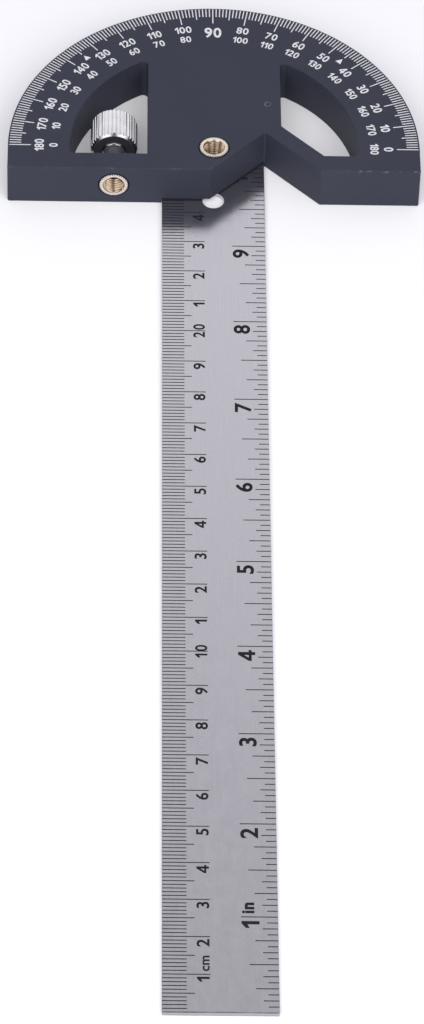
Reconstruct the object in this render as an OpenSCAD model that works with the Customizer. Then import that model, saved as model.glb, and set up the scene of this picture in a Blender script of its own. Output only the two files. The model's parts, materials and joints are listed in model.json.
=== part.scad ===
// Sliding-rule protractor square: a moulded half-round protractor head on a steel rule,
// with two brass threaded inserts and a knurled thumbscrew.
// Origin: the protractor's centre on the graduated face. +Y points to the 90 degree mark.

/* [Head] */
// Radius of the graduated arc
head_r = 50; // [45:0.5:60]
// Thickness of the head
head_t = 11.6; // [10:0.1:16]
// Distance from the protractor's centre to the front reference face
front_d = 7.75; // [6.5:0.05:9]
// Depth of the front bar, from its front face to the windows
bar_depth = 5.35; // [4:0.05:6.5]
// Wall of the middle web beside the rule's channel, on the thumbscrew's side
screw_side_wall = 3.5; // [2:0.1:6]
// Wall of the middle web beside the rule's channel, on the notch's side
notch_side_wall = 3.9; // [2:0.1:6]
// Wall between the centre insert and the right-angled notch
insert_wall = 1.28; // [0.6:0.02:2.4]
// Wall between the notch and the right window
notch_wall = 4.4; // [3:0.1:6]
// Floor left under the centre insert, above the rule
insert_floor = 0.8; // [0.4:0.1:3]

/* [Rule] */
// Length of the rule
rule_l = 300; // [200:1:400]
// Width of the rule
rule_w = 25; // [20:0.5:30]
// Thickness of the rule
rule_t = 1.2; // [0.8:0.1:2]
// Reach of the rule's tail behind the protractor's centre, as it lies in the head
rule_tail = 47.9; // [30:0.1:60]
// Distance of the pivot hole from the rule's tail end
rule_hole_from_tail = 55.8; // [40:0.1:70]
// Gap at each edge of the rule in its channel
channel_side_gap = 0.05; // [0.02:0.01:0.2]
// Gap above the rule in its channel
channel_top_gap = 0.4; // [0.05:0.05:0.6]

/* [Threaded inserts] */
// Outside diameter of each insert
insert_od = 7.2; // [6.6:0.1:8]
// Nominal diameter of the thread
thread_d = 5; // [4:0.1:5.5]
// Thread pitch
thread_pitch = 0.8; // [0.5:0.05:1]
// Depth of the thread
thread_depth = 0.4; // [0.2:0.05:0.5]
// How much wider than the thread the clearance holes are
hole_clearance = 0.2; // [0.1:0.05:0.6]
// Number of serrations round each insert
insert_teeth = 36; // [16:1:48]
// Depth of the serrations
insert_tooth_depth = 0.22; // [0.1:0.01:0.4]

/* [Thumbscrew] */
// Diameter of the knurled knob
knob_d = 11.4; // [9:0.1:13]
// Length of the knob
knob_l = 9.5; // [7:0.1:12]
// Number of straight flutes round the knob
knob_flutes = 36; // [24:1:48]
// Depth of the flutes
flute_depth = 0.3; // [0.2:0.05:0.6]
// Chamfer at both ends of the knob
knob_chamfer = 0.75; // [0.2:0.05:1]
// Gap between the knob and the web beside it
knob_web_gap = 2.5; // [1:0.05:5]
// Gap between the knob's far corner and the ring
knob_ring_gap = 2.1; // [1:0.1:5]
// Diameter of the collar under the knob
collar_d = 5.9; // [5.4:0.1:9]
// Length of the collar
collar_l = 0.6; // [0.4:0.1:3]
// Threaded length in front of the collar
stud_l = 7; // [6:0.1:10]
// Length of thread held in the insert, with the screw backed out
thread_held = 1.1; // [0.8:0.1:4]
// Diameter of the plain shank inside the knob
shank_d = 4; // [3:0.1:4.5]
// Solid end of the knob, past the shank
knob_cap = 3.5; // [1:0.1:5]
// Radial gap of the stud in the insert and of the shank in the knob
screw_fit = 0.05; // [0.02:0.01:0.1]

/* [Graduations] */
// Degrees between the etched lines of the arc
degree_step = 5; // [1, 5, 10]
// Millimetres between the etched lines of the metric edge
metric_step = 5; // [1, 5, 10]
// Sixteenths of an inch between the etched lines of the inch edge
inch_step = 4; // [1, 2, 4, 8, 16]
// Depth of the etched lines
etch_depth = 0.08; // [0.05:0.01:0.2]
// Width of the lines on the head
degree_line_w = 0.22; // [0.15:0.01:0.4]
// Width of the lines on the rule
rule_line_w = 0.18; // [0.12:0.01:0.3]
// Bare margin between the rim and the degree lines
degree_margin = 0.4; // [0.3:0.1:2]
// Length of the single degree lines
degree_l = 2.8; // [2:0.05:4]
// Length of the 5 degree lines
five_degree_l = 3.75; // [3:0.05:5]
// Length of the 10 degree lines
ten_degree_l = 5.2; // [4:0.05:7]
// Length of the millimetre lines
mm_l = 5; // [3:0.1:6]
// Length of the 5 millimetre lines
five_mm_l = 6.5; // [4:0.1:8]
// Length of the centimetre lines
cm_l = 9.9; // [6:0.1:11]
// Length of the sixteenth-inch lines
sixteenth_l = 2.5; // [1.5:0.1:3]
// Length of the eighth-inch lines
eighth_l = 3.6; // [2.5:0.1:4]
// Length of the quarter-inch lines
quarter_l = 5.1; // [4:0.1:6]
// Length of the half-inch lines
half_l = 6.4; // [5:0.1:7]
// Length of the inch lines
inch_l = 8; // [6:0.1:9]

/* [Hidden] */
$fn = 96;

// How far cuts run past the faces they open
overrun = 1;
inch = 25.4;
lines_per_inch = 16;

bottom_z = -head_t;
front_y = -front_d;
bar_back_y = front_y + bar_depth;

channel_w = rule_w + 2 * channel_side_gap;
channel_h = rule_t + channel_top_gap;
web_left_x = -channel_w / 2 - screw_side_wall;
web_right_x = channel_w / 2 + notch_side_wall;
rule_zero_y = rule_tail - rule_l;
clear_hole_d = thread_d + hole_clearance;
pivot_insert_l = head_t - channel_h - insert_floor;

stud_d = thread_d - 2 * screw_fit;
thread_turns = floor(stud_l / thread_pitch) - 1;
shank_l = knob_l - knob_cap;
collar_y = bar_back_y + stud_l - thread_held;
knob_y = collar_y + collar_l;
screw_x = web_left_x - knob_web_gap - knob_d / 2;
screw_z = bottom_z / 2;

// The windows reach round the knob's far corner, and the notch's apex lies on the rule's edge
window_r = norm([screw_x - knob_d / 2, knob_y + knob_l]) + knob_ring_gap;
notch_x = rule_w / 2;
notch_y = notch_x - (insert_od / 2 + insert_wall) * sqrt(2);
window_vee_y = notch_y + notch_wall * sqrt(2);

// Length of a degree line, and of the lines on the rule's metric and inch edges
function degree_line_l(angle) =
    angle % 10 == 0 ? ten_degree_l : angle % 5 == 0 ? five_degree_l : degree_l;
function mm_line_l(mm) = mm % 10 == 0 ? cm_l : mm % 5 == 0 ? five_mm_l : mm_l;
function inch_line_l(step) =
    step % 16 == 0 ? inch_l
    : step % 8 == 0 ? half_l
    : step % 4 == 0 ? quarter_l
    : step % 2 == 0 ? eighth_l
    : sixteenth_l;

// Places a shape drawn along +Z on the thumbscrew's axis, starting at the given distance along +Y
module along_screw(y) {
    translate([screw_x, y, screw_z]) rotate([-90, 0, 0]) children();
}

// Right-angled vee through the head, opening at the front face from an apex on the rule's edge
module vee(apex_y) {
    reach = apex_y - front_y + overrun;
    translate([notch_x, apex_y, bottom_z - overrun])
        linear_extrude(head_t + 2 * overrun)
            polygon([[0, 0], [-reach, -reach], [reach, -reach]]);
}

// Window between the bar, the ring and a side of the web, as wide as the head from its given left end
module window(left_x) {
    intersection() {
        translate([0, 0, bottom_z - overrun]) cylinder(r = window_r, h = head_t + 2 * overrun);
        translate([left_x, bar_back_y, bottom_z - 2 * overrun])
            cube([head_r, head_r, head_t + 4 * overrun]);
    }
}

// Half disc of the arc with the straight bar in front of it
module head_blank() {
    translate([0, 0, bottom_z]) {
        intersection() {
            cylinder(r = head_r, h = head_t);
            translate([-head_r, 0, 0]) cube([2 * head_r, head_r, head_t]);
        }
        translate([-head_r, front_y, 0]) cube([2 * head_r, front_d, head_t]);
    }
}

// Radial lines on the graduated face
module degree_lines() {
    for (angle = [0 : degree_step : 180])
        rotate(angle)
            translate([head_r - degree_margin - degree_line_l(angle), -degree_line_w / 2, -etch_depth])
                cube([degree_line_l(angle), degree_line_w, etch_depth + overrun]);
}

// Outline of the rule's etched top layer, with a slot for each line on its two edges
module etched_outline() {
    right_slots = [
        for (step = [inch_step : inch_step : ceil(rule_l / inch * lines_per_inch) - 1])
            let (y = step * inch / lines_per_inch, end_x = rule_w / 2 - inch_line_l(step))
                each [[rule_w / 2, y - rule_line_w / 2], [end_x, y - rule_line_w / 2],
                      [end_x, y + rule_line_w / 2], [rule_w / 2, y + rule_line_w / 2]]
    ];
    left_slots = [
        for (back = [1 : ceil(rule_l / metric_step) - 1])
            let (mm = (ceil(rule_l / metric_step) - back) * metric_step,
                 end_x = mm_line_l(mm) - rule_w / 2)
                each [[-rule_w / 2, mm + rule_line_w / 2], [end_x, mm + rule_line_w / 2],
                      [end_x, mm - rule_line_w / 2], [-rule_w / 2, mm - rule_line_w / 2]]
    ];
    polygon(concat(
        [[-rule_w / 2, 0], [rule_w / 2, 0]], right_slots,
        [[rule_w / 2, rule_l], [-rule_w / 2, rule_l]], left_slots));
}

// Serrated sleeve standing on z = 0, with a plain bore at the thread's nominal diameter
module threaded_insert(length) {
    difference() {
        cylinder(d = insert_od, h = length);
        translate([0, 0, -overrun]) cylinder(d = thread_d, h = length + 2 * overrun);
        for (tooth = [0 : insert_teeth - 1])
            rotate(tooth * 360 / insert_teeth)
                translate([insert_od / 2, 0, length / 2])
                    rotate(45)
                        cube([insert_tooth_depth * sqrt(2), insert_tooth_depth * sqrt(2),
                              length + 2 * overrun], center = true);
    }
}

module protractor_head() {
    color([0.16, 0.17, 0.20])
        difference() {
            head_blank();
            window(web_left_x - head_r);
            difference() {
                window(web_right_x);
                vee(window_vee_y);
            }
            vee(notch_y);
            translate([-channel_w / 2, front_y - overrun, bottom_z - overrun])
                cube([channel_w, front_d + head_r + 2 * overrun, channel_h + overrun]);
            translate([0, 0, -pivot_insert_l]) cylinder(d = insert_od, h = pivot_insert_l + overrun);
            translate([0, 0, bottom_z]) cylinder(d = clear_hole_d, h = head_t);
            along_screw(front_y - overrun) cylinder(d = insert_od, h = bar_depth + 2 * overrun);
            degree_lines();
        }
}

module rule_blade() {
    color([0.78, 0.78, 0.80])
        translate([0, rule_zero_y, bottom_z])
            difference() {
                union() {
                    translate([-rule_w / 2, 0, 0]) cube([rule_w, rule_l, rule_t - etch_depth]);
                    translate([0, 0, rule_t - etch_depth]) linear_extrude(etch_depth) etched_outline();
                }
                translate([0, rule_l - rule_hole_from_tail, -overrun])
                    cylinder(d = clear_hole_d, h = rule_t + 2 * overrun);
            }
}

module pivot_insert() {
    color([0.80, 0.65, 0.38])
        translate([0, 0, -pivot_insert_l]) threaded_insert(pivot_insert_l);
}

module edge_insert() {
    color([0.80, 0.65, 0.38])
        along_screw(front_y) threaded_insert(bar_depth);
}

// Threaded end, collar and plain shank, with the thread drawn as rings at its pitch
module thumbscrew_stud() {
    crest_r = stud_d / 2;
    root_r = crest_r - thread_depth;
    collar_end = stud_l + collar_l;
    shank_end = collar_end + shank_l;
    thread_rings = [
        for (half = [0 : 2 * thread_turns])
            [half % 2 == 0 ? crest_r : root_r, thread_depth + half * thread_pitch / 2]
    ];
    color([0.30, 0.30, 0.32])
        along_screw(collar_y - stud_l)
            rotate_extrude()
                polygon(concat(
                    [[0, 0], [root_r, 0]],
                    thread_rings,
                    [[crest_r, stud_l], [collar_d / 2, stud_l], [collar_d / 2, collar_end],
                     [shank_d / 2, collar_end], [shank_d / 2, shank_end], [0, shank_end]]));
}

// Fluted knob with chamfered ends and a blind bore for the shank
module thumbscrew_knob() {
    color([0.80, 0.80, 0.82])
        along_screw(knob_y)
            difference() {
                rotate_extrude()
                    polygon([[0, 0], [knob_d / 2 - knob_chamfer, 0], [knob_d / 2, knob_chamfer],
                             [knob_d / 2, knob_l - knob_chamfer], [knob_d / 2 - knob_chamfer, knob_l],
                             [0, knob_l]]);
                translate([0, 0, -overrun])
                    cylinder(d = shank_d + 2 * screw_fit, h = shank_l + screw_fit + overrun);
                for (flute = [0 : knob_flutes - 1])
                    rotate(flute * 360 / knob_flutes)
                        translate([knob_d / 2, 0, knob_l / 2])
                            rotate(45)
                                cube([flute_depth * sqrt(2), flute_depth * sqrt(2), knob_l + 2 * overrun],
                                     center = true);
            }
}

protractor_head();
rule_blade();
pivot_insert();
edge_insert();
thumbscrew_stud();
thumbscrew_knob();
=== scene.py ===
import json
import math

import bmesh
import bpy
from mathutils import Matrix, Vector
from mathutils.geometry import tessellate_polygon


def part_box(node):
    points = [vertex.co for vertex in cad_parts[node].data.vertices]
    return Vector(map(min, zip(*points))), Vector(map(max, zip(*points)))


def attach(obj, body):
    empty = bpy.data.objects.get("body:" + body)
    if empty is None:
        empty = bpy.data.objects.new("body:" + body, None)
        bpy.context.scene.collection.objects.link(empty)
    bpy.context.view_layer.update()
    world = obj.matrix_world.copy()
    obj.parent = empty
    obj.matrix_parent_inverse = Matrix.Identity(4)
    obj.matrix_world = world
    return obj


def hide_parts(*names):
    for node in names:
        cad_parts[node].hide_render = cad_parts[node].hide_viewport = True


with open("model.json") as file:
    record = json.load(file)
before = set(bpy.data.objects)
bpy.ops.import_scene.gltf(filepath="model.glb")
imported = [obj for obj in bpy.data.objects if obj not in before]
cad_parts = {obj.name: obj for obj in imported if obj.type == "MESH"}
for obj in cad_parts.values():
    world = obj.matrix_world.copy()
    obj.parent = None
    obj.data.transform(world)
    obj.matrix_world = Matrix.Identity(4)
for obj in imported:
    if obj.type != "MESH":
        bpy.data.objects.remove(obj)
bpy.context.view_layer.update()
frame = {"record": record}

# Lengths are in millimetres until a mesh is finished. The origin is the protractor's centre on the
# graduated face, +Y points to the 90 degree mark and the rule's zero end lies at -Y.
MM = 0.001
CM = 10
INCH = 25.4
QUARTER_TURN = 90
HALF_TURN = 180


def box_mm(node):
    """Corners of a CAD node's box, in millimetres."""
    low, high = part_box(node)
    return low / MM, high / MM


head_low, head_high = box_mm("protractor_head")
rule_low, rule_high = box_mm("rule_blade")
pivot_low, pivot_high = box_mm("pivot_insert")
edge_low, edge_high = box_mm("edge_insert")
stud_low, stud_high = box_mm("thumbscrew_stud")
knob_low, knob_high = box_mm("thumbscrew_knob")
mounts = {mount["name"]: mount for mount in frame["record"]["mounts"]}
coupling = frame["record"]["behaviour"]["couplings"][0]

# Head
HEAD_R = head_high.x
FRONT_Y = head_low.y
BOTTOM_Z = head_low.z
BAR_BACK_Y = edge_high.y
# The paint of the scale reaches the graduated face, so the moulding itself ends a hair lower
PAINT_T = 0.03
FACE_Z = head_high.z - PAINT_T
CHANNEL_SIDE_GAP = 0.05
CHANNEL_TOP_GAP = 0.4
CHANNEL_HALF_W = rule_high.x + CHANNEL_SIDE_GAP
CHANNEL_TOP_Z = rule_high.z + CHANNEL_TOP_GAP
SCREW_SIDE_WALL = 3.5
NOTCH_SIDE_WALL = 3.9
WEB_LEFT_W = CHANNEL_HALF_W + SCREW_SIDE_WALL
WEB_RIGHT_W = CHANNEL_HALF_W + NOTCH_SIDE_WALL
INSERT_R = 3.6
# Wall between the centre insert and the notch, and between the notch and the right window
INSERT_WALL = 1.28
NOTCH_WALL = 4.4
NOTCH_X = rule_high.x
NOTCH_Y = NOTCH_X - (INSERT_R + INSERT_WALL) * math.sqrt(2)
WINDOW_VEE_Y = NOTCH_Y + NOTCH_WALL * math.sqrt(2)
SCREW = Vector(((knob_low.x + knob_high.x) / 2, 0, (knob_low.z + knob_high.z) / 2))
KNOB_R = SCREW.z - knob_low.z
KNOB_RING_GAP = 2.1
WINDOW_R = Vector((SCREW.x - KNOB_R, knob_high.y)).length + KNOB_RING_GAP
HEAD_EDGE_R = 0.28
HEAD_CORNER_R = 0.45
WEB_CORNER_R = 1.15
BAR_CORNER_R = 0.5
SEAT_GAP = 0.2
SEAT_LIP = 0.12
HOLE_CLEARANCE = 0.1
GATE_AT = Vector((13.2, 15.5))
GATE_R = 0.55
GATE_DEPTH = 0.3

# Thumbscrew's collar
COLLAR_L = 0.6

# Width of the painted shade along the rims of the rule's zero end
RIM_SHADE_W = 0.22

# Thread of the inserts and of the stud
THREAD_R = mounts["pivot_thread"]["dims"]["r_mm"]
THREAD_PITCH = 2 * math.pi / coupling["ratio"] / MM
THREAD_DEPTH = 0.4
THREAD_FIT = 0.05

# Segments of round forms, and rings in one turn of a thread
TURNED_STEPS = 96
HEAD_ARC_STEPS = 240
WINDOW_ARC_STEPS = 80
WEB_CORNER_STEPS = 10
BAR_CORNER_STEPS = 8
GATE_STEPS = 32
TOOTH_STEPS = 6
FLUTE_STEPS = 10
CHAMFER_STEPS = 6
STUD_STEPS = 72
HOLE_STEPS = 72
RULE_END_STEPS = 6
THREAD_STEPS = 16

# Edges sharper than this, in degrees, stay sharp
FLAT_ANGLE = 35
THREAD_ANGLE = 50
FLUTE_ANGLE = 28

# Share of its radius that the middle face of a round end has
END_SHARE = 0.3
# How far a cutter reaches past what it cuts
CUT_PAST = 1.0


def around(loop):
    """Each point of a closed loop with its neighbours."""
    return zip(loop[-1:] + loop[:-1], loop, loop[1:] + loop[:1])


def inset(loop, distance):
    """The loop moved into the solid on the left of its direction, with mitred corners."""
    moved = []
    for before, here, after in around(loop):
        left_in = (here - before).normalized().orthogonal()
        left_out = (after - here).normalized().orthogonal()
        moved.append(here + distance * (left_in + left_out) / (1 + left_in.dot(left_out)))
    return moved


def round_corners(loop, radius, steps=5, least_turn=math.radians(20), side_share=0.4):
    """The loop with an arc at each sharp corner, which takes no more than a share of the sides beside it."""
    points = []
    for before, here, after in around(loop):
        way_in, way_out = (here - before).normalized(), (after - here).normalized()
        turn = math.atan2(way_in.cross(way_out), way_in.dot(way_out))
        if abs(turn) < least_turn:
            points.append(here)
            continue
        shorter = min((here - before).length, (after - here).length)
        room = side_share * shorter / math.tan(abs(turn) / 2)
        side = math.copysign(min(radius, room), turn)
        left_in, left_out = way_in.orthogonal(), way_out.orthogonal()
        centre = here + side * (left_in + left_out) / (1 + left_in.dot(left_out))
        for step in range(steps + 1):
            points.append(centre - Matrix.Rotation(turn * step / steps, 2) @ left_in * side)
    return points


def arc(radius, start, end, steps, centre=(0.0, 0.0)):
    """Points of an arc, angles in radians. Its centre is the protractor's unless another is given."""
    angles = [start + (end - start) * step / steps for step in range(steps + 1)]
    return [Vector(centre) + Vector((radius * math.cos(a), radius * math.sin(a))) for a in angles]


def fill(bm, rings):
    """Flat face of triangles with the first ring as outline and the others as holes."""
    flat = [vert for ring in rings for vert in ring]
    for triangle in tessellate_polygon([[vert.co for vert in ring] for ring in rings]):
        bm.faces.new([flat[i] for i in triangle])


def prism(loops, low, high, edge_r, steps=4):
    """Upright solid with rounded rims. Each loop has the solid on its left."""
    quarter = [math.pi / 2 * step / steps for step in range(steps + 1)]
    levels = [(low + edge_r * (1 - math.sin(a)), edge_r * (1 - math.cos(a))) for a in reversed(quarter)]
    levels += [(high - edge_r * (1 - math.sin(a)), edge_r * (1 - math.cos(a))) for a in quarter]
    bm = bmesh.new()
    caps = {0: [], len(levels) - 1: []}
    for loop in loops:
        rings = []
        for index, (z, depth) in enumerate(levels):
            ring = [bm.verts.new((p.x, p.y, z)) for p in inset(loop, depth)]
            rings.append(ring)
            if index in caps:
                caps[index].append(ring)
        for lower, upper in zip(rings, rings[1:]):
            for i, vert in enumerate(lower):
                bm.faces.new((lower[i - 1], vert, upper[i], upper[i - 1]))
    for cap in caps.values():
        fill(bm, cap)
    bmesh.ops.recalc_face_normals(bm, faces=bm.faces)
    return bm


def skin(rings, closed=False):
    """Solid through rings of equally many points. The ends are filled, or joined to each other."""
    bm = bmesh.new()
    made = [[bm.verts.new(point) for point in ring] for ring in rings]
    for lower, upper in zip(made, made[1:] + (made[:1] if closed else [])):
        for i, vert in enumerate(lower):
            bm.faces.new((lower[i - 1], vert, upper[i], upper[i - 1]))
    if not closed:
        bm.faces.new(made[0])
        bm.faces.new(made[-1])
    bmesh.ops.recalc_face_normals(bm, faces=bm.faces)
    return bm


def ring_at(height, radius, count):
    """Ring about +Z. The radius is a number, or a function of the share of the turn."""
    points = []
    for i in range(count):
        share = i / count
        r = radius(share) if callable(radius) else radius
        points.append((r * math.cos(2 * math.pi * share), r * math.sin(2 * math.pi * share), height))
    return points


def triangle_wave(phase):
    """0 at whole numbers and 1 half way between them."""
    return 1 - abs(2 * (phase % 1) - 1)


def thread_radius(crest_r, along, grown=1.0):
    """Radius round one turn of a rounded right-hand thread at that distance along its axis, with a share of
    its depth."""
    def radius(share):
        wave = 0.5 - 0.5 * math.cos(2 * math.pi * (along / THREAD_PITCH - share))
        return crest_r - THREAD_DEPTH * grown * wave
    return radius


def to_object(bm, name):
    """New object from a mesh in millimetres."""
    bmesh.ops.scale(bm, vec=(MM, MM, MM), verts=bm.verts)
    mesh = bpy.data.meshes.new(name)
    bm.to_mesh(mesh)
    bm.free()
    obj = bpy.data.objects.new(name, mesh)
    bpy.context.scene.collection.objects.link(obj)
    return obj


def final_mesh(obj):
    """Replaces the object's mesh by what its modifiers make of it."""
    evaluated = obj.evaluated_get(bpy.context.evaluated_depsgraph_get())
    mesh = bpy.data.meshes.new_from_object(evaluated)
    obj.modifiers.clear()
    obj.data = mesh
    mesh.name = obj.name


def smooth(obj, angle=FLAT_ANGLE):
    """Smooth shading that keeps sharp edges sharp and flat faces flat."""
    obj.data.polygons.foreach_set("use_smooth", [True] * len(obj.data.polygons))
    obj.data.set_sharp_from_angle(angle=math.radians(angle))
    weighted = obj.modifiers.new("weighted", "WEIGHTED_NORMAL")
    weighted.keep_sharp = True
    final_mesh(obj)


def cut(obj, cutter_bm):
    """Takes a cutter's volume out of the object."""
    cutter = to_object(cutter_bm, "cutter")
    boolean = obj.modifiers.new("cut", "BOOLEAN")
    boolean.operation = "DIFFERENCE"
    boolean.solver = "EXACT"
    boolean.object = cutter
    final_mesh(obj)
    bpy.data.objects.remove(cutter)


def block(low, high):
    """Box between two corners, for cutting."""
    bm = bmesh.new()
    size = Vector(high) - Vector(low)
    middle = (Vector(high) + Vector(low)) / 2
    bmesh.ops.create_cube(bm, size=1, matrix=Matrix.Translation(middle) @ Matrix.Diagonal((*size, 1)))
    return bm


def turned(profile, count=TURNED_STEPS):
    """Solid of revolution about +Z from (radius, height) pairs."""
    return skin([ring_at(height, radius, count) for radius, height in profile])


def along_screw(bm):
    """Turns a mesh drawn along +Z to the thumbscrew's axis, which runs along +Y."""
    place = Matrix.Translation(SCREW) @ Matrix.Rotation(math.radians(-QUARTER_TURN), 4, "X")
    bmesh.ops.transform(bm, matrix=place, verts=bm.verts)
    return bm


# Materials

# Vertex layer for the places where a piece is rubbed bright and carries a painted highlight
WEAR_AND_HIGHLIGHT_LAYER = "wear_and_highlight"
# Colour sockets of the Mix node, whose other sockets have the same names
MIX_FIRST, MIX_SECOND, MIX_RESULT = 6, 7, 2


def add(tree, kind, inputs=None, **settings):
    """New shader node. An input takes a value or another node's output."""
    made = tree.nodes.new(kind)
    for key, value in settings.items():
        setattr(made, key, value)
    for key, value in (inputs or {}).items():
        if isinstance(value, bpy.types.NodeSocket):
            tree.links.new(value, made.inputs[key])
        else:
            made.inputs[key].default_value = value
    return made


def calculate(tree, operation, *values):
    """Result of a Math node."""
    return add(tree, "ShaderNodeMath", dict(enumerate(values)), operation=operation).outputs[0]


def own_place(tree):
    """Coordinates of the object itself, in metres."""
    return add(tree, "ShaderNodeTexCoord").outputs["Object"]


def part_of(tree, vector, axis):
    """One coordinate of a vector."""
    return add(tree, "ShaderNodeSeparateXYZ", {"Vector": vector}).outputs[axis]


def noise(tree, cells, detail=3.0, roughness=0.55):
    """Noise over the object's own coordinates, with that many cells per metre along each axis."""
    scaled = add(tree, "ShaderNodeMapping", {"Vector": own_place(tree), "Scale": cells}).outputs["Vector"]
    texture = add(tree, "ShaderNodeTexNoise",
                  {"Vector": scaled, "Scale": 1.0, "Detail": detail, "Roughness": roughness})
    return texture.outputs["Fac"]


def spread(tree, value, low, high, start=0.3, end=0.7):
    """The value's range from start to end, stretched to the range from low to high."""
    return add(tree, "ShaderNodeMapRange",
               {"Value": value, "From Min": start, "From Max": end, "To Min": low, "To Max": high}
               ).outputs["Result"]


def blend_colours(tree, share, first, second):
    """Mix of two colours. Each is a value or another node's output."""
    mixed = add(tree, "ShaderNodeMix", {"Factor": share}, data_type="RGBA")
    for index, value in ((MIX_FIRST, first), (MIX_SECOND, second)):
        if isinstance(value, bpy.types.NodeSocket):
            tree.links.new(value, mixed.inputs[index])
        else:
            mixed.inputs[index].default_value = (*value, 1)
    return mixed.outputs[MIX_RESULT]


def new_material(name, **constants):
    """Material with one Principled shader. Values that are the same all over sit on its sockets."""
    material = bpy.data.materials.new(name)
    material.use_nodes = True
    shader = material.node_tree.nodes["Principled BSDF"]
    for key, value in constants.items():
        shader.inputs[key.replace("_", " ")].default_value = value
    return material, material.node_tree, shader


def drive(tree, shader, **values):
    """Links values that vary over the piece to the shader's sockets."""
    for key, value in values.items():
        tree.links.new(value, shader.inputs[key.replace("_", " ")])


def bump(tree, height, distance, strength):
    """Normal of a surface raised by the height, with the distance in metres."""
    return add(tree, "ShaderNodeBump",
               {"Height": height, "Distance": distance, "Strength": strength}).outputs["Normal"]


def edge_mask(tree, place, axis, start, end):
    """0 to 1 between two places along an axis, in millimetres."""
    return spread(tree, part_of(tree, place, axis), 0.0, 1.0, start * MM, end * MM)


def product(tree, *shares):
    """All shares multiplied."""
    result = shares[0]
    for share in shares[1:]:
        result = calculate(tree, "MULTIPLY", result, share)
    return result


def plastic_material():
    """Fine-grained moulding, rubbed on its upper front edge, most of all right of the notch, and scuffed
    round the pit of the mould's gate."""
    dark, light, grain_light = (0.032, 0.035, 0.053), (0.039, 0.042, 0.062), (0.055, 0.058, 0.077)
    rubbed, scuffed = (0.17, 0.175, 0.20), (0.11, 0.115, 0.14)
    rub_start, rub_full, rub_right = 0.7, 0.2, 0.8 * HEAD_R
    scuff_in, scuff_out, scuff_end = 0.8 * GATE_R, 1.5 * GATE_R, 1.8 * GATE_R
    material, tree, shader = new_material("satin_black_plastic", Specular_IOR_Level=0.12)
    grain = noise(tree, (2600, 2600, 2600), detail=4)
    patches = noise(tree, (45, 60, 60), detail=2)
    colour = blend_colours(tree, spread(tree, patches, 0, 1), dark, light)
    colour = blend_colours(tree, spread(tree, grain, 0, 0.35), colour, grain_light)
    place = own_place(tree)
    edge = product(tree, edge_mask(tree, place, "Z", FACE_Z - rub_start, FACE_Z - rub_full),
                   edge_mask(tree, place, "Y", FRONT_Y + rub_start, FRONT_Y + rub_full))
    speckle = noise(tree, (700, 1500, 1500), detail=4, roughness=0.7)
    specks = spread(tree, speckle, 0, 1, start=0.56, end=0.68)
    right = spread(tree, part_of(tree, place, "X"), 0.3, 0.9, start=0.0, end=rub_right * MM)
    colour = blend_colours(tree, product(tree, edge, specks, right), colour, rubbed)
    off_gate = add(tree, "ShaderNodeVectorMath", {0: place, 1: (*GATE_AT * MM, FACE_Z * MM)},
                   operation="DISTANCE").outputs["Value"]
    broken = noise(tree, (900, 900, 900), detail=2)
    scuff = product(tree, spread(tree, off_gate, 0, 1, start=scuff_in * MM, end=GATE_R * MM),
                    spread(tree, off_gate, 1, 0, start=scuff_out * MM, end=scuff_end * MM),
                    spread(tree, broken, 0, 1, start=0.4, end=0.6))
    colour = blend_colours(tree, scuff, colour, scuffed)
    drive(tree, shader, Base_Color=colour, Roughness=spread(tree, patches, low=0.5, high=0.6),
          Normal=bump(tree, grain, distance=0.00002, strength=0.5))
    return material


def rule_material():
    """Drawn steel, with a dark line of painted shade along both rims of the sheared zero end."""
    dark, light = (0.545, 0.532, 0.589), (0.585, 0.572, 0.632)
    mottle_light, grain_dark = (0.66, 0.646, 0.70), (0.49, 0.477, 0.53)
    sheared_grey, rim_shade_grey = (0.42, 0.41, 0.44), (0.24, 0.235, 0.255)
    end_start, end_full = 0.1, 0.04
    rim_shade_start = 1.2 * RIM_SHADE_W
    material, tree, shader = new_material("satin_stainless_steel", Metallic=0.96)
    streaks = noise(tree, (5200, 55, 5200), detail=4)
    mottle = noise(tree, (420, 260, 420), detail=3)
    grain = noise(tree, (2400, 1500, 2400), detail=2)
    colour = blend_colours(tree, spread(tree, streaks, 0, 1), dark, light)
    colour = blend_colours(tree, spread(tree, mottle, 0, 0.25), colour, mottle_light)
    colour = blend_colours(tree, spread(tree, grain, 0, 0.35), colour, grain_dark)
    place = own_place(tree)
    sheared = edge_mask(tree, place, "Y", rule_low.y + end_start, rule_low.y + end_full)
    colour = blend_colours(tree, sheared, colour, sheared_grey)
    # Painted shade: a patchy dark line along the upper and lower rims of the zero end, for the shade of the
    # upper rim and the contact shadow under the lower one
    half_t = (rule_high.z - rule_low.z) / 2
    middle_z = (rule_low.z + rule_high.z) / 2
    off_middle = calculate(tree, "SUBTRACT", part_of(tree, place, "Z"), middle_z * MM)
    rim = calculate(tree, "ABSOLUTE", off_middle)
    rim_shade = product(tree, spread(tree, rim, 0, 1, (half_t - rim_shade_start) * MM, (half_t - RIM_SHADE_W) * MM),
                   edge_mask(tree, place, "Y", rule_low.y + rim_shade_start, rule_low.y + RIM_SHADE_W),
                   spread(tree, noise(tree, (220, 220, 220)), 0.25, 1.0))
    colour = blend_colours(tree, rim_shade, colour, rim_shade_grey)
    drive(tree, shader, Base_Color=colour, Roughness=spread(tree, mottle, low=0.19, high=0.24),
          Normal=bump(tree, streaks, distance=0.000004, strength=0.35))
    return material


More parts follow.
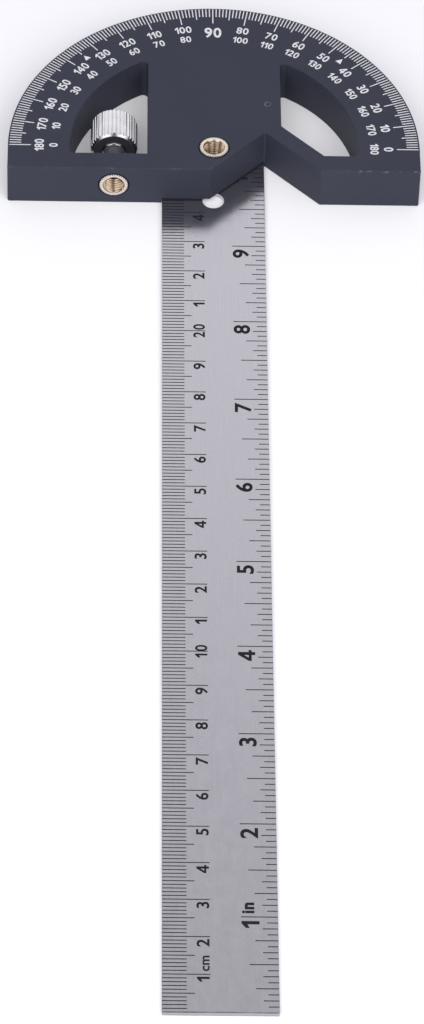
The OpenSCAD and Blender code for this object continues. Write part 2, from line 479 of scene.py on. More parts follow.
def brass_material():
    """Turned brass, rubbed bright and painted near white as highlight where the mesh's wear and highlight
    layer says so.
    """
    dull, bright, highlight_pale = (0.57, 0.41, 0.29), (0.71, 0.56, 0.43), (0.99, 0.95, 0.90)
    material, tree, shader = new_material("turned_brass", Metallic=1.0)
    tarnish = noise(tree, (900, 900, 900), detail=3)
    grain = noise(tree, (9000, 9000, 9000), detail=2)
    wear_and_highlight = add(tree, "ShaderNodeAttribute", attribute_name=WEAR_AND_HIGHLIGHT_LAYER).outputs["Fac"]
    colour = blend_colours(tree, spread(tree, tarnish, 0, 1), dull, bright)
    # Painted highlight: the tooth tips and the mouth are made near white, partly rubbed brass
    colour = blend_colours(tree, wear_and_highlight, colour, highlight_pale)
    drive(tree, shader, Base_Color=colour, Roughness=spread(tree, tarnish, low=0.22, high=0.12),
          Normal=bump(tree, grain, distance=0.000006, strength=0.5))
    return material


def plated_material():
    """Bright plating on the flutes; the face behind the collar is painted dark as shade."""
    dull, bright, face_painted_shade = (0.76, 0.75, 0.78), (0.88, 0.87, 0.90), (0.06, 0.06, 0.08)
    shade_start, shade_full = 0.08, 0.02
    material, tree, shader = new_material("bright_nickel_plate")
    smudges = noise(tree, (420, 420, 420), detail=3)
    grain = noise(tree, (7000, 900, 7000), detail=2)
    colour = blend_colours(tree, spread(tree, smudges, 0, 1), dull, bright)
    # Painted shade: the front face is dark and half metallic, for the shade and dark reflection between the
    # knob and the bar
    face_shade_mask = edge_mask(tree, own_place(tree), "Y", knob_low.y + shade_start, knob_low.y + shade_full)
    colour = blend_colours(tree, face_shade_mask, colour, face_painted_shade)
    drive(tree, shader, Base_Color=colour,
          Metallic=spread(tree, face_shade_mask, low=1.0, high=0.5, start=0.0, end=1.0),
          Roughness=spread(tree, smudges, low=0.16, high=0.24),
          Normal=bump(tree, grain, distance=0.000006, strength=0.5))
    return material


def black_oxide_material():
    """Dull oxide, rubbed to bright steel on the collar."""
    dark, light, steel = (0.06, 0.062, 0.08), (0.10, 0.103, 0.12), (0.55, 0.55, 0.58)
    rub_full = 0.08
    material, tree, shader = new_material("black_oxide_steel")
    wear = noise(tree, (1500, 1500, 1500), detail=4)
    colour = blend_colours(tree, spread(tree, wear, 0, 1), dark, light)
    collar_y = knob_low.y - COLLAR_L
    collar = edge_mask(tree, own_place(tree), "Y", collar_y, collar_y + rub_full)
    colour = blend_colours(tree, collar, colour, steel)
    drive(tree, shader, Base_Color=colour,
          Metallic=spread(tree, collar, low=0.1, high=1.0, start=0.0, end=1.0),
          Roughness=spread(tree, collar, low=0.34, high=0.12, start=0.0, end=1.0),
          Normal=bump(tree, wear, distance=0.00001, strength=0.4))
    return material


def paint_material(name, thin, full, roughness, gloss, swing=0.08):
    """Printed ink, a little thinner and rougher in places."""
    material, tree, shader = new_material(name, Specular_IOR_Level=gloss)
    cover = noise(tree, (1400, 1400, 1400), detail=3)
    colour = blend_colours(tree, spread(tree, cover, 0, 1), thin, full)
    drive(tree, shader, Base_Color=colour,
          Roughness=spread(tree, cover, low=roughness + swing, high=roughness - swing),
          Normal=bump(tree, cover, distance=0.000005, strength=0.4))
    return material


PLASTIC = plastic_material()
STEEL = rule_material()
BRASS = brass_material()
PLATED = plated_material()
BLACK_OXIDE = black_oxide_material()
WHITE_PAINT = paint_material("white_scale_paint", thin=(0.58, 0.58, 0.61), full=(0.80, 0.80, 0.82),
                             roughness=0.5, gloss=0.12)
DARK_ETCH = paint_material("dark_etched_marks", thin=(0.026, 0.025, 0.030), full=(0.014, 0.013, 0.016),
                           roughness=0.6, gloss=0.02)


def finish_piece(obj, material, body, node=None):
    """Gives a piece its material and body, and hides the CAD node that it stands for."""
    obj.data.materials.clear()
    obj.data.materials.append(material)
    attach(obj, body)
    if node:
        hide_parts(node)


# Protractor head

def head_outline():
    """Half-round outline with the notch in its front."""
    left, right = NOTCH_X - (NOTCH_Y - FRONT_Y), NOTCH_X + (NOTCH_Y - FRONT_Y)
    outline = [Vector((HEAD_R, FRONT_Y))]
    outline += arc(HEAD_R, 0, math.pi, HEAD_ARC_STEPS)
    outline += [Vector((-HEAD_R, FRONT_Y)), Vector((left, FRONT_Y)),
                Vector((NOTCH_X, NOTCH_Y)), Vector((right, FRONT_Y))]
    return outline


def window_side(wall_x):
    """Edge of a window on the +X side, from its wall round the ring to the bar, with filleted corners."""
    high_x, low_y = wall_x + WEB_CORNER_R, BAR_BACK_Y + BAR_CORNER_R
    high = Vector((high_x, math.sqrt((WINDOW_R - WEB_CORNER_R) ** 2 - high_x ** 2)))
    low = Vector((math.sqrt((WINDOW_R - BAR_CORNER_R) ** 2 - low_y ** 2), low_y))
    high_angle, low_angle = math.atan2(high.y, high.x), math.atan2(low.y, low.x)
    return (arc(WEB_CORNER_R, math.pi, high_angle, WEB_CORNER_STEPS, high)[:-1]
            + arc(WINDOW_R, high_angle, low_angle, WINDOW_ARC_STEPS)
            + arc(BAR_CORNER_R, low_angle, -math.pi / 2, BAR_CORNER_STEPS, low)[1:])


def left_window():
    mirrored = [Vector((-point.x, point.y)) for point in window_side(WEB_LEFT_W)]
    return [Vector((-WEB_LEFT_W, BAR_BACK_Y))] + mirrored[::-1]


def right_window():
    slope_x = NOTCH_X + WINDOW_VEE_Y - BAR_BACK_Y
    slope_y = WINDOW_VEE_Y - (WEB_RIGHT_W - NOTCH_X)
    return [Vector((slope_x, BAR_BACK_Y)), Vector((WEB_RIGHT_W, slope_y))] + window_side(WEB_RIGHT_W)


def build_head():
    loops = [round_corners(loop, HEAD_CORNER_R) for loop in (head_outline(), left_window(), right_window())]
    head = to_object(prism(loops, BOTTOM_Z, FACE_Z, HEAD_EDGE_R), "protractor_moulding")
    cut(head, block((-CHANNEL_HALF_W, FRONT_Y - CUT_PAST, BOTTOM_Z - CUT_PAST),
                    (CHANNEL_HALF_W, HEAD_R + CUT_PAST, CHANNEL_TOP_Z)))
    clear_r = THREAD_R + HOLE_CLEARANCE
    seat_r = INSERT_R + SEAT_GAP
    lip_r = seat_r + SEAT_LIP
    cut(head, turned([(clear_r, BOTTOM_Z - CUT_PAST), (clear_r, pivot_low.z), (seat_r, pivot_low.z),
                      (seat_r, FACE_Z - SEAT_LIP), (lip_r, FACE_Z), (lip_r, FACE_Z + CUT_PAST)]))
    cut(head, along_screw(turned([(lip_r, FRONT_Y - CUT_PAST), (lip_r, FRONT_Y),
                                  (seat_r, FRONT_Y + SEAT_LIP), (seat_r, BAR_BACK_Y + CUT_PAST)])))
    gate = turned([(END_SHARE * GATE_R, FACE_Z - GATE_DEPTH), (GATE_R, FACE_Z), (GATE_R, FACE_Z + CUT_PAST)],
                  GATE_STEPS)
    bmesh.ops.translate(gate, vec=(*GATE_AT, 0), verts=gate.verts)
    cut(head, gate)
    smooth(head)
    finish_piece(head, PLASTIC, "head", "protractor_head")


# Inserts

INSERT_TEETH = 36
INSERT_TOOTH_DEPTH = 0.4
INSERT_RIM = 0.16
INSERT_MOUTH_R = 2.65
INSERT_COUNTERSINK = 0.3
INSERT_RUN_IN = 0.25
# Share of wear and painted highlight round the mouth
MOUTH_WEAR_AND_HIGHLIGHT = 0.4


def insert_rings(length, far_along, sign):
    """Serrated sleeve from 0 to length. far_along is the thread's place on its axis at height 0, and sign
    the direction in which it runs from there."""
    count = INSERT_TEETH * TOOTH_STEPS

    def serrated(shrink):
        return lambda share: (INSERT_R - shrink
                              - INSERT_TOOTH_DEPTH * triangle_wave(share * INSERT_TEETH) ** 2)

    def inner(height):
        grown = min(1.0, (length - INSERT_COUNTERSINK - height) / INSERT_RUN_IN)
        return thread_radius(THREAD_R, far_along + sign * height, grown)

    rings = [ring_at(0, serrated(INSERT_RIM), count), ring_at(INSERT_RIM, serrated(0), count),
             ring_at(length - INSERT_RIM, serrated(0), count), ring_at(length, serrated(INSERT_RIM), count),
             ring_at(length, INSERT_MOUTH_R, count)]
    steps = round((length - INSERT_COUNTERSINK) / THREAD_PITCH * THREAD_STEPS)
    for step in range(steps + 1):
        height = (length - INSERT_COUNTERSINK) * (1 - step / steps)
        rings.append(ring_at(height, inner(height), count))
    return rings


def insert_sleeve(rings):
    """Closed sleeve about +Z, with wear and a painted highlight at the tips of its teeth and round its mouth.
    """
    bm = skin(rings, closed=True)
    layer = bm.verts.layers.float.new(WEAR_AND_HIGHLIGHT_LAYER)
    root_r = INSERT_R - INSERT_TOOTH_DEPTH - INSERT_RIM
    for vert in bm.verts:
        radius = vert.co.xy.length
        at_mouth = THREAD_R < radius < root_r
        vert[layer] = MOUTH_WEAR_AND_HIGHLIGHT if at_mouth else max(0.0, min(1.0, (radius - root_r) / INSERT_TOOTH_DEPTH))
    return bm


def build_pivot_insert():
    length = pivot_high.z - pivot_low.z
    bm = insert_sleeve(insert_rings(length, pivot_low.z, 1))
    bmesh.ops.translate(bm, vec=(0, 0, pivot_low.z), verts=bm.verts)
    insert = to_object(bm, "centre_brass_insert")
    smooth(insert, THREAD_ANGLE)
    finish_piece(insert, BRASS, "head", "pivot_insert")


def build_edge_insert():
    length = edge_high.y - edge_low.y
    rings = insert_rings(length, edge_high.y, -1)
    # Drawn from the back end towards the front face, then turned over onto the screw's axis
    flipped = [[(x, y, edge_high.y - z) for x, y, z in ring] for ring in rings]
    insert = to_object(along_screw(insert_sleeve(flipped)), "edge_brass_insert")
    smooth(insert, THREAD_ANGLE)
    finish_piece(insert, BRASS, "head", "edge_insert")


# Thumbscrew

COLLAR_R = 2.95
COLLAR_BEVEL = 0.42
COLLAR_BACK_BEVEL = COLLAR_BEVEL / 4
SHANK_R = 2.0
SHANK_GAP = 0.05
TIP_CHAMFER = 0.45
KNOB_FLUTES = 36
FLUTE_DEPTH = 0.3
# Share of the pitch that a flute takes, and the power of its slope
FLUTE_W = 0.36
FLUTE_POWER = 0.8
KNOB_CROWN = 0.07
KNOB_CHAMFER = 0.75
KNOB_RIM = 1.7
KNOB_RECESS = 0.25


def chamfered(radius, limit):
    """The radius round a turn, held under a limit."""
    return lambda share: min(radius(share), limit)


def fluted(share):
    """Radius of the knob round one turn."""
    groove = abs((share * KNOB_FLUTES) % 1 - 0.5) * 2
    depth = max(0.0, 1 - groove / FLUTE_W) ** FLUTE_POWER
    crown = max(0.0, (groove - FLUTE_W) / (1 - FLUTE_W)) ** 2
    return KNOB_R - KNOB_CROWN * (1 - crown) - FLUTE_DEPTH * depth


def build_stud():
    tip, collar, knob_y = stud_low.y, knob_low.y - COLLAR_L, knob_low.y
    crest_r = THREAD_R - THREAD_FIT
    tip_r = crest_r - TIP_CHAMFER
    steps = round((collar - tip) / THREAD_PITCH * THREAD_STEPS)
    profile = [(END_SHARE * crest_r, tip), (tip_r, tip)]
    for step in range(1, steps):
        along = tip + (collar - tip) * step / steps
        profile.append((chamfered(thread_radius(crest_r, along), tip_r + (along - tip)), along))
    profile += [(crest_r - THREAD_DEPTH, collar), (COLLAR_R - COLLAR_BEVEL, collar),
                (COLLAR_R, collar + COLLAR_BEVEL), (COLLAR_R, knob_y - COLLAR_BACK_BEVEL),
                (COLLAR_R - COLLAR_BACK_BEVEL, knob_y), (SHANK_R, knob_y), (SHANK_R, stud_high.y)]
    stud = to_object(along_screw(turned(profile, STUD_STEPS)), "thumbscrew_threaded_stud")
    smooth(stud, THREAD_ANGLE)
    finish_piece(stud, BLACK_OXIDE, "screw_stud", "thumbscrew_stud")


def build_knob():
    start, end = knob_low.y, knob_high.y
    bore_r, bore_end = SHANK_R + SHANK_GAP, stud_high.y + SHANK_GAP
    face_r = KNOB_R - KNOB_CHAMFER
    recess_r, recess_y = KNOB_R - KNOB_RIM, end - KNOB_RECESS
    chamfer = [KNOB_CHAMFER * step / CHAMFER_STEPS for step in range(CHAMFER_STEPS + 1)]
    profile = [(END_SHARE * bore_r, bore_end), (bore_r, bore_end), (bore_r, start)]
    profile += [(chamfered(fluted, face_r + rise), start + rise) for rise in chamfer]
    profile += [(chamfered(fluted, face_r + rise), end - rise) for rise in reversed(chamfer)]
    profile += [(recess_r + KNOB_RECESS, end), (recess_r, recess_y), (END_SHARE * recess_r, recess_y)]
    knob = to_object(along_screw(turned(profile, KNOB_FLUTES * FLUTE_STEPS)), "thumbscrew_knurled_knob")
    smooth(knob, FLUTE_ANGLE)
    finish_piece(knob, PLATED, "screw_knob", "thumbscrew_knob")


# Rule

RULE_L = rule_high.y - rule_low.y
RULE_EDGE_R = 0.1
RULE_CORNER_R = 0.35
RULE_END_R = 0.22


def rounded_end():
    """What is taken off the upper edge of the rule's zero end."""
    y, z = rule_low.y + RULE_END_R, rule_high.z - RULE_END_R
    angles = [math.pi / 2 * (1 + step / RULE_END_STEPS) for step in range(RULE_END_STEPS + 1)]
    profile = [(y + RULE_END_R * math.cos(a), z + RULE_END_R * math.sin(a)) for a in angles]
    profile += [(rule_low.y - CUT_PAST, z), (rule_low.y - CUT_PAST, rule_high.z + CUT_PAST),
                (y, rule_high.z + CUT_PAST)]
    sides = (rule_low.x - CUT_PAST, rule_high.x + CUT_PAST)
    return skin([[(x, *point) for point in profile] for x in sides])


def build_rule():
    half, hole_r = rule_high.x, mounts["rule_hole"]["dims"]["r_mm"]
    hole_y = mounts["rule_hole"]["pos_m"][1] / MM
    outline = [Vector(p) for p in ((-half, rule_low.y), (half, rule_low.y),
                                   (half, rule_high.y), (-half, rule_high.y))]
    hole = [Vector((0, hole_y)) + point for point in arc(hole_r, 2 * math.pi, 0, HOLE_STEPS)[:-1]]
    bm = prism([round_corners(outline, RULE_CORNER_R), hole], rule_low.z, rule_high.z, RULE_EDGE_R)
    rule = to_object(bm, "steel_rule")
    cut(rule, rounded_end())
    smooth(rule)
    finish_piece(rule, STEEL, "rule", "rule_blade")


# Graduations and numerals

def add_plate(bm, loops, low, high):
    """Flat plate with the given outline and holes."""
    lower = [[bm.verts.new((*point, low)) for point in loop] for loop in loops]
    upper = [[bm.verts.new((*point, high)) for point in loop] for loop in loops]
    for under, over in zip(lower, upper):
        for i, vert in enumerate(under):
            bm.faces.new((under[i - 1], vert, over[i], over[i - 1]))
    fill(bm, lower)
    fill(bm, upper)


def add_bar(bm, start, end, width, low, high):
    """Flat bar between two points of the plan."""
    side = (end - start).normalized().orthogonal() * width / 2
    add_plate(bm, [[start - side, end - side, end + side, start + side]], low, high)


# Figures drawn as outlines and holes, in digit heights, where the font's own are too plain, too small or torn
DRAWN_FIGURES = {
    "1": [((0.24, 0.0), (0.38, 0.0), (0.38, 1.0), (0.27, 1.0), (0.0, 0.76), (0.0, 0.61), (0.24, 0.75))],
    "4": [((0.42, 0.0), (0.56, 0.0), (0.56, 0.22), (0.70, 0.22), (0.70, 0.34), (0.56, 0.34), (0.56, 1.0),
           (0.42, 1.0), (0.0, 0.36), (0.0, 0.22), (0.42, 0.22)),
          ((0.42, 0.34), (0.13, 0.34), (0.42, 0.78))],
    "n": [((0.0, 0.0), (0.14, 0.0), (0.14, 0.50), (0.19, 0.56), (0.33, 0.56), (0.39, 0.50), (0.39, 0.0),
           (0.53, 0.0), (0.53, 0.54), (0.48, 0.65), (0.38, 0.70), (0.0, 0.70))],
}
FONT_STEPS = 4
GLYPH_HALF_T = 0.5
# Gap between letters, in digit heights
LETTER_GAP = 0.1
# Point of a text that its place is given for, as a share of its length
LEFT_END, MIDDLE, RIGHT_END = 0, 0.5, 1
X_AXIS, Y_AXIS = 0, 1


def font_mesh(letter, weight):
    """Mesh of one letter of the built-in font, one unit thick."""
    curve = bpy.data.curves.new("glyph", "FONT")
    curve.body = letter
    curve.offset = weight
    curve.extrude = GLYPH_HALF_T
    curve.resolution_u = FONT_STEPS
    holder = bpy.data.objects.new("glyph", curve)
    bpy.context.scene.collection.objects.link(holder)
    mesh = bpy.data.meshes.new_from_object(holder.evaluated_get(bpy.context.evaluated_depsgraph_get()))
    bpy.data.objects.remove(holder)
    bpy.data.curves.remove(curve)
    return mesh


def extent(mesh, axis):
    """Least and greatest coordinate along an axis."""
    values = [vert.co[axis] for vert in mesh.vertices]
    return min(values), max(values)


FONT_HEIGHT = extent(font_mesh("7", 0.0), Y_AXIS)[1]
glyphs = {}


def glyph(letter, weight):
    """Mesh of a letter one digit high whose left end is at 0."""
    if (letter, weight) not in glyphs:
        bm = bmesh.new()
        if letter in DRAWN_FIGURES:
            loops = [[Vector(point) for point in loop] for loop in DRAWN_FIGURES[letter]]
            heavier = [inset(loop, -weight / FONT_HEIGHT) for loop in loops]
            add_plate(bm, heavier, -GLYPH_HALF_T, GLYPH_HALF_T)
            bmesh.ops.recalc_face_normals(bm, faces=bm.faces)
        else:
            bm.from_mesh(font_mesh(letter, weight))
            bmesh.ops.scale(bm, vec=(1 / FONT_HEIGHT, 1 / FONT_HEIGHT, 1), verts=bm.verts)
        mesh = bpy.data.meshes.new("glyph")
        bm.to_mesh(mesh)
        bm.free()
        mesh.transform(Matrix.Translation((-extent(mesh, X_AXIS)[0], 0, 0)))
        glyphs[letter, weight] = mesh
    return glyphs[letter, weight]


def add_text(bm, text, style, place, turn, levels, anchor=MIDDLE, gap=LETTER_GAP):
    """Text with its baseline's anchor point at a place of the plan. Its style is the digits' height, a factor
    for their width and what their outlines are moved out by."""
    height, squeeze, weight = style
    low, high = levels
    meshes = [glyph(letter, weight) for letter in text]
    widths = [extent(mesh, X_AXIS)[1] for mesh in meshes]
    along = -anchor * (sum(widths) + gap * (len(text) - 1))
    stand = (Matrix.Translation((place.x, place.y, (low + high) / 2)) @ Matrix.Rotation(turn, 4, "Z")
             @ Matrix.Diagonal((height * squeeze, height, high - low, 1)))
    for mesh, width in zip(meshes, widths):
        placed = mesh.copy()
        placed.transform(stand @ Matrix.Translation((along, 0, 0)))
        bm.from_mesh(placed)
        bpy.data.meshes.remove(placed)
        along += width + gap


# Print of the head's scale, from inside the moulding to just under the CAD face
PRINT_DEPTH = 0.05
PRINT_MARGIN = 0.005
PRINT_LEVELS = (FACE_Z - PRINT_DEPTH, head_high.z - PRINT_MARGIN)
DEGREE_W = 0.26
DEGREE_MARGIN = 0.4
DEGREE_L, FIVE_DEGREE_L, TEN_DEGREE_L = 2.8, 3.75, 5.2
# Pointer triangles under two of the five-degree lines
POINTER_DEGREES = (45, 135)
POINTER_APEX_R, POINTER_BASE_R, POINTER_HALF_W = 45.2, 43.5, 0.85
# Radius at the middle of each row of numbers, and its style
TOP_NUMBER_R, TOP_NUMBER = 41.0, (3.25, 0.85, 0.025)
OUTER_NUMBER_R, OUTER_NUMBER = 42.4, (2.15, 0.93, 0.02)
INNER_NUMBER_R, INNER_NUMBER = 38.95, (1.95, 0.93, 0.02)


def way_at(degree):
    """Unit vector of the plan towards a degree of the scale."""
    angle = math.radians(degree)
    return Vector((math.cos(angle), math.sin(angle)))


def build_degree_lines():
    bm = bmesh.new()
    outer = HEAD_R - DEGREE_MARGIN
    for degree in range(HALF_TURN + 1):
        length = TEN_DEGREE_L if degree % 10 == 0 else FIVE_DEGREE_L if degree % 5 == 0 else DEGREE_L
        way = way_at(degree)
        add_bar(bm, way * (outer - length), way * outer, DEGREE_W, *PRINT_LEVELS)
    for degree in POINTER_DEGREES:
        way = way_at(degree)
        across = way.orthogonal() * POINTER_HALF_W
        plan = [way * POINTER_APEX_R, way * POINTER_BASE_R + across, way * POINTER_BASE_R - across]
        add_plate(bm, [plan], *PRINT_LEVELS)
    bmesh.ops.recalc_face_normals(bm, faces=bm.faces)
    finish_piece(to_object(bm, "degree_lines"), WHITE_PAINT, "head")


def build_degree_numbers():
    bm = bmesh.new()

    def label(number, degree, middle_r, style):
        height = style[0]
        foot = way_at(degree) * (middle_r - height / 2)
        add_text(bm, str(number), style, foot, math.radians(degree - QUARTER_TURN), PRINT_LEVELS)

    for degree in range(0, HALF_TURN + 1, 10):
        if degree == QUARTER_TURN:
            label(degree, degree, TOP_NUMBER_R, TOP_NUMBER)
            continue
        label(degree, degree, OUTER_NUMBER_R, OUTER_NUMBER)
        label(HALF_TURN - degree, degree, INNER_NUMBER_R, INNER_NUMBER)
    finish_piece(to_object(bm, "degree_numbers"), WHITE_PAINT, "head")


# Etched marks of the rule
ETCH_DEPTH = 0.03
ETCH_PROUD = 0.015
ETCH_LEVELS = (rule_high.z - ETCH_DEPTH, rule_high.z + ETCH_PROUD)
RULE_LINE_W = 0.23
LINE_INSET = 0.12
MM_L, FIVE_MM_L, CM_L = 5.35, 7.05, 10.35
SIXTEENTHS = 16
# Sixteenths of an inch from one such line to the next, and their length
INCH_LINES = ((16, 8.0), (8, 6.3), (4, 5.0), (2, 3.4), (1, 2.4))
# Baselines from the rule's edges, gaps from a line to its figure and styles of the figures
METRIC_BASE, METRIC_GAP, METRIC_FIGURE = rule_low.x + 10.15, 0.65, (2.58, 1.13, 0.02)
INCH_BASE, INCH_GAP, INCH_FIGURE = rule_high.x - 4.18, 1.12, (3.6, 1.14, 0.024)
# Numbers with two figures stand centred on their lines, with a wider gap between the figures
METRIC_PAIR, METRIC_PAIR_GAP = (2.58, 1.01, 0.02), 0.28
INCH_PAIR_GAP = 0.46
# Units: places from the zero end, and styles
METRIC_UNIT_AT, METRIC_UNIT = 10.85, (2.05, 1.17, 0.02)
INCH_UNIT_AT, INCH_UNIT = INCH + 0.95, (2.55, 1.15, 0.035)
INCH_UNIT_BASE = INCH_BASE - 1.07


def build_rule_lines():
    bm = bmesh.new()

    def line(start_x, end_x, from_zero):
        y = rule_low.y + from_zero
        add_bar(bm, Vector((start_x, y)), Vector((end_x, y)), RULE_LINE_W, *ETCH_LEVELS)

    for mm in range(1, math.ceil(RULE_L)):
        reach = CM_L if mm % 10 == 0 else FIVE_MM_L if mm % 5 == 0 else MM_L
        line(rule_low.x + LINE_INSET, rule_low.x + reach, mm)
    for step in range(1, math.ceil(RULE_L / INCH * SIXTEENTHS)):
        reach = next(reach for every, reach in INCH_LINES if step % every == 0)
        line(rule_high.x - reach, rule_high.x - LINE_INSET, step * INCH / SIXTEENTHS)
    bmesh.ops.recalc_face_normals(bm, faces=bm.faces)
    finish_piece(to_object(bm, "rule_lines"), DARK_ETCH, "rule")


def build_rule_numbers():
    bm = bmesh.new()

    def label(text, style, x, y, anchor, gap=LETTER_GAP):
        add_text(bm, text, style, Vector((x, y)), math.radians(QUARTER_TURN), ETCH_LEVELS, anchor, gap)

    for cm in range(1, math.ceil(RULE_L / CM)):
        y = rule_low.y + CM * cm
        if cm % 10 == 0:
            label(str(cm), METRIC_PAIR, METRIC_BASE, y, MIDDLE, METRIC_PAIR_GAP)
        else:
            label(str(cm % 10), METRIC_FIGURE, METRIC_BASE, y - METRIC_GAP, RIGHT_END)
    label("cm", METRIC_UNIT, METRIC_BASE, rule_low.y + METRIC_UNIT_AT, LEFT_END)
    for inch in range(1, math.ceil(RULE_L / INCH)):
        y = rule_low.y + INCH * inch
        if inch < 10:
            label(str(inch), INCH_FIGURE, INCH_BASE, y - INCH_GAP, RIGHT_END)
        else:
            label(str(inch), INCH_FIGURE, INCH_BASE, y, MIDDLE, INCH_PAIR_GAP)
    label("in", INCH_UNIT, INCH_UNIT_BASE, rule_low.y + INCH_UNIT_AT, LEFT_END)
    finish_piece(to_object(bm, "rule_numbers"), DARK_ETCH, "rule")


build_head()
build_pivot_insert()
build_edge_insert()
build_stud()
build_knob()
build_rule()
build_degree_lines()
build_degree_numbers()
build_rule_lines()
build_rule_numbers()


# Stage

WHITE = (1, 1, 1)
# Half the floor's side in metres, and how far it lies under the part in millimetres
FLOOR_REACH = 3.0
FLOOR_DROP = 0.02
FLOOR_SEGMENTS = 8
FLOOR_COLOUR = (0.92, 0.92, 0.94)
# Share of the floor's look that is its own glow
FLOOR_LIFT = 0.12
AMBIENT = 0.5
AMBIENT_COLOUR = (0.95, 0.95, 1.08)
# Level of what metal and plastic mirror, by the sine of the elevation
SKY_LEVELS = ((0.0, 0.97), (0.70, 1.0), (0.735, 1.15), (0.75, 0.72), (0.81, 0.5), (0.85, 0.5), (1.0, 0.75))
# The same by the azimuth, from 0 in front to 1 behind: bright where the two softboxes stand and behind
# the object, dimmer at the sides
ROUND_LEVELS = ((0.0, 1.35), (0.18, 1.35), (0.21, 0.28), (0.45, 0.28), (0.6, 1.0), (1.0, 1.0))
# The camera stands dark between the softboxes, by the azimuth and by the sine of the elevation
CAMERA_ROUND = ((0.0, 0.04), (0.015, 0.04), (0.025, 1.0), (1.0, 1.0))
CAMERA_HEIGHT = ((0.0, 0.35), (0.58, 0.35), (0.64, 0.0), (0.88, 0.0), (0.94, 1.0), (1.0, 1.0))
# Softboxes: degrees, metres and watts
BOX_AZIMUTHS = (-117, -63)
BOX_ELEVATION, BOX_DISTANCE = 45, 1.2
BOX_W, BOX_H, BOX_POWER = 0.78, 0.87, 7.2
BOX_COLOUR = (1.0, 0.99, 0.96)


def shown_background(tree):
    """1 for rays that show the background: straight to the camera, mirrored or through glass."""
    path = add(tree, "ShaderNodeLightPath").outputs
    seen = calculate(tree, "MAXIMUM", path["Is Camera Ray"], path["Is Glossy Ray"])
    return calculate(tree, "MAXIMUM", seen, path["Is Transmission Ray"])


def build_floor():
    bm = bmesh.new()
    bmesh.ops.create_grid(bm, x_segments=FLOOR_SEGMENTS, y_segments=FLOOR_SEGMENTS, size=FLOOR_REACH)
    mesh = bpy.data.meshes.new("floor")
    bm.to_mesh(mesh)
    bm.free()
    floor = bpy.data.objects.new("floor", mesh)
    floor.location.z = (BOTTOM_Z - FLOOR_DROP) * MM
    bpy.context.scene.collection.objects.link(floor)
    material, tree, shader = new_material("pale_floor", Base_Color=(*FLOOR_COLOUR, 1), Roughness=0.8,
                                          Specular_IOR_Level=0.2)
    glow = add(tree, "ShaderNodeEmission", {"Color": (*WHITE, 1), "Strength": 1.0})
    lift = product(tree, shown_background(tree), FLOOR_LIFT)
    mixed = add(tree, "ShaderNodeMixShader", {"Fac": lift, 1: shader.outputs[0], 2: glow.outputs[0]})
    tree.links.new(mixed.outputs[0], tree.nodes["Material Output"].inputs["Surface"])
    mesh.materials.append(material)


def level_ramp(tree, share, levels):
    """Grey level along a line of stops."""
    ramp = add(tree, "ShaderNodeValToRGB", {"Fac": share})
    stops = ramp.color_ramp.elements
    for position, _ in levels[1:-1]:
        stops.new(position)
    for stop, (position, level) in zip(stops, levels):
        stop.position, stop.color = position, (level, level, level, 1)
    return ramp.outputs["Color"]


def build_world():
    """Even light, and a studio of bright and dark places for what the part mirrors."""
    world = bpy.data.worlds.new("studio")
    world.use_nodes = True
    bpy.context.scene.world = world
    tree = world.node_tree
    way = add(tree, "ShaderNodeTexCoord").outputs["Generated"]
    height = part_of(tree, way, "Z")
    flat = add(tree, "ShaderNodeVectorMath", {0: way, 1: (1, 1, 0)}, operation="MULTIPLY").outputs[0]
    level_way = add(tree, "ShaderNodeVectorMath", {0: flat}, operation="NORMALIZE").outputs[0]
    turn = spread(tree, part_of(tree, level_way, "Y"), 0.0, 1.0, start=-1.0, end=1.0)
    camera = calculate(tree, "MAXIMUM", level_ramp(tree, turn, CAMERA_ROUND),
                       level_ramp(tree, height, CAMERA_HEIGHT))
    mirrored = product(tree, level_ramp(tree, height, SKY_LEVELS), level_ramp(tree, turn, ROUND_LEVELS),
                       camera)
    seen = shown_background(tree)
    strength = add(tree, "ShaderNodeMapRange", {"Value": seen, "To Min": AMBIENT, "To Max": mirrored})
    background = tree.nodes["Background"]
    tree.links.new(blend_colours(tree, seen, AMBIENT_COLOUR, WHITE), background.inputs["Color"])
    tree.links.new(strength.outputs[0], background.inputs["Strength"])


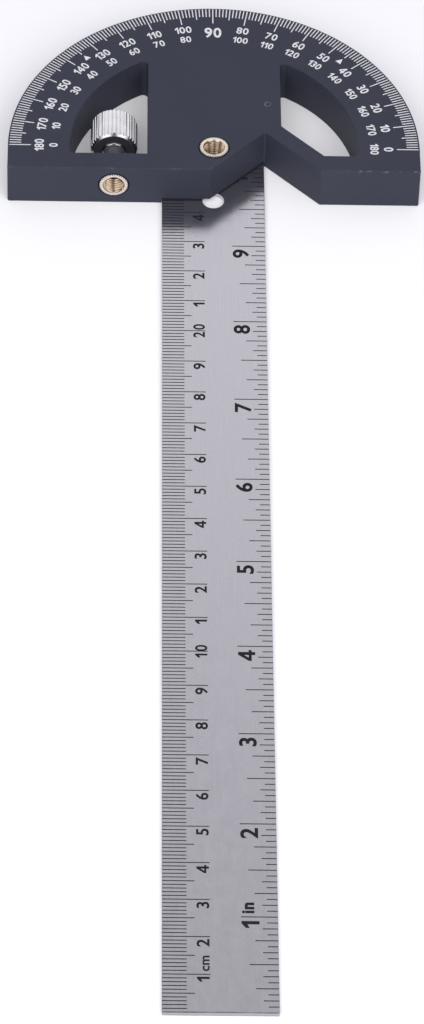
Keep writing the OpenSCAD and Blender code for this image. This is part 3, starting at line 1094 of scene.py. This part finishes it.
def build_softboxes():
    """Two softboxes in front, one at each side of the camera. The world shows them in mirrors."""
    elevation = math.radians(BOX_ELEVATION)
    for azimuth in BOX_AZIMUTHS:
        lamp = bpy.data.lights.new("softbox", "AREA")
        lamp.shape = "RECTANGLE"
        lamp.size, lamp.size_y = BOX_W, BOX_H
        lamp.energy = BOX_POWER
        lamp.color = BOX_COLOUR
        box = bpy.data.objects.new("softbox", lamp)
        level = Matrix.Rotation(math.radians(azimuth), 3, "Z") @ Vector((1, 0, 0))
        way = level * math.cos(elevation) + Vector((0, 0, math.sin(elevation)))
        box.location = way * BOX_DISTANCE
        box.rotation_mode = "QUATERNION"
        box.rotation_quaternion = way.to_track_quat("Z", "Y")
        box.visible_glossy = False
        bpy.context.scene.collection.objects.link(box)


# Camera, as fitted to the photo's rule and arc
CAMERA_AT = Vector((-26.97, -880.90, 840.34))
CAMERA_TILT = math.radians(47.804)
CAMERA_YAW = math.radians(1.933)
CAMERA_ROLL = math.radians(2.112)
SENSOR_W = 36.0
IMAGE_LONG_SIDE = 1024
FOCAL_PIXELS = 5006.6
# Nearest and farthest distance shown, in metres
CLIP_START, CLIP_END = 0.05, 20.0


def build_camera():
    data = bpy.data.cameras.new("camera")
    data.sensor_width = SENSOR_W
    data.lens = FOCAL_PIXELS * SENSOR_W / IMAGE_LONG_SIDE
    data.clip_start, data.clip_end = CLIP_START, CLIP_END
    camera = bpy.data.objects.new("camera", data)
    ahead = Vector((math.sin(CAMERA_YAW) * math.cos(CAMERA_TILT),
                    math.cos(CAMERA_YAW) * math.cos(CAMERA_TILT), -math.sin(CAMERA_TILT)))
    level = Vector((math.cos(CAMERA_YAW), -math.sin(CAMERA_YAW), 0))
    upright = level.cross(ahead)
    right = math.cos(CAMERA_ROLL) * level + math.sin(CAMERA_ROLL) * upright
    up = -math.sin(CAMERA_ROLL) * level + math.cos(CAMERA_ROLL) * upright
    turn = Matrix((right, up, -ahead)).transposed()
    camera.matrix_world = Matrix.Translation(CAMERA_AT * MM) @ turn.to_4x4()
    bpy.context.scene.collection.objects.link(camera)
    bpy.context.scene.camera = camera


build_floor()
build_world()
build_softboxes()
build_camera()
bpy.context.scene.view_settings.view_transform = "Standard"
